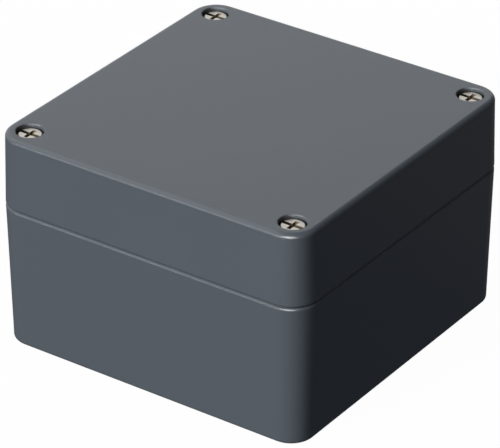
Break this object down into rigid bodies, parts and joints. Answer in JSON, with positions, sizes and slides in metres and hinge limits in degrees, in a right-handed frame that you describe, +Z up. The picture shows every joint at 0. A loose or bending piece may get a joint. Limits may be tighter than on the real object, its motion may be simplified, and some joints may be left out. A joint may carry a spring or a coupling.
{
  "type": "die cast aluminium box",
  "caption": "Square die-cast aluminium enclosure with a deep lift-off lid, recessed captive corner screws, a tongue-and-groove seal and wall fixings under the lid.",
  "frame": {"origin": "centre of the underside", "axes": "+Z up through the lid; +X to the right and -Y towards the viewer, with the wall fixing holes 106.5 mm apart along X and 82 mm apart along Y"},
  "size_m": [0.125, 0.125, 0.08],
  "materials": {
    "grey_paint": "satin dark blue-grey paint on die-cast aluminium",
    "stainless_steel": "bright stainless steel, slightly warm",
    "seal_rubber": "black moulded rubber",
    "natural_nylon": "natural nylon",
    "plated_brass": "bright brass"
  },
  "bodies": {
    "base": {"base": "grey_paint", "base_earth_screw": "plated_brass", "base_earth_spring_washer": "stainless_steel", "base_earth_clamp": "plated_brass"},
    "lid": {"lid": "grey_paint", "lid_gasket": "seal_rubber", "lid_earth_screw": "plated_brass", "lid_earth_spring_washer": "stainless_steel", "lid_earth_clamp": "plated_brass"},
    "retaining_washer_front_left": {"retaining_washer_front_left": "natural_nylon"},
    "lid_screw_front_left": {"lid_screw_front_left": "stainless_steel"},
    "retaining_washer_front_right": {"retaining_washer_front_right": "natural_nylon"},
    "lid_screw_front_right": {"lid_screw_front_right": "stainless_steel"},
    "retaining_washer_back_right": {"retaining_washer_back_right": "natural_nylon"},
    "lid_screw_back_right": {"lid_screw_back_right": "stainless_steel"},
    "retaining_washer_back_left": {"retaining_washer_back_left": "natural_nylon"},
    "lid_screw_back_left": {"lid_screw_back_left": "stainless_steel"}
  },
  "joints": [
    {"name": "lid_lift", "type": "slide", "parent": "base", "child": "lid", "axis": [0, 0, 1], "range_m": [0, 0.12]},
    {"name": "screw_rise_front_left", "type": "slide", "parent": "lid", "child": "retaining_washer_front_left", "axis": [0, 0, 1], "range_m": [0, 0.0112]},
    {"name": "screw_turn_front_left", "type": "hinge", "parent": "retaining_washer_front_left", "child": "lid_screw_front_left", "pos_m": [-0.05325, -0.05325, 0.08], "axis": [0, 0, 1], "range_deg": [0, 5040]},
    {"name": "screw_rise_front_right", "type": "slide", "parent": "lid", "child": "retaining_washer_front_right", "axis": [0, 0, 1], "range_m": [0, 0.0112]},
    {"name": "screw_turn_front_right", "type": "hinge", "parent": "retaining_washer_front_right", "child": "lid_screw_front_right", "pos_m": [0.05325, -0.05325, 0.08], "axis": [0, 0, 1], "range_deg": [0, 5040]},
    {"name": "screw_rise_back_right", "type": "slide", "parent": "lid", "child": "retaining_washer_back_right", "axis": [0, 0, 1], "range_m": [0, 0.0112]},
    {"name": "screw_turn_back_right", "type": "hinge", "parent": "retaining_washer_back_right", "child": "lid_screw_back_right", "pos_m": [0.05325, 0.05325, 0.08], "axis": [0, 0, 1], "range_deg": [0, 5040]},
    {"name": "screw_rise_back_left", "type": "slide", "parent": "lid", "child": "retaining_washer_back_left", "axis": [0, 0, 1], "range_m": [0, 0.0112]},
    {"name": "screw_turn_back_left", "type": "hinge", "parent": "retaining_washer_back_left", "child": "lid_screw_back_left", "pos_m": [-0.05325, 0.05325, 0.08], "axis": [0, 0, 1], "range_deg": [0, 5040]}
  ],
  "couplings": [
    {"joint": "screw_turn_front_left", "follows": "screw_rise_front_left", "rad_per_m": 7854},
    {"joint": "screw_turn_front_right", "follows": "screw_rise_front_right", "rad_per_m": 7854},
    {"joint": "screw_turn_back_right", "follows": "screw_rise_back_right", "rad_per_m": 7854},
    {"joint": "screw_turn_back_left", "follows": "screw_rise_back_left", "rad_per_m": 7854}
  ]
}
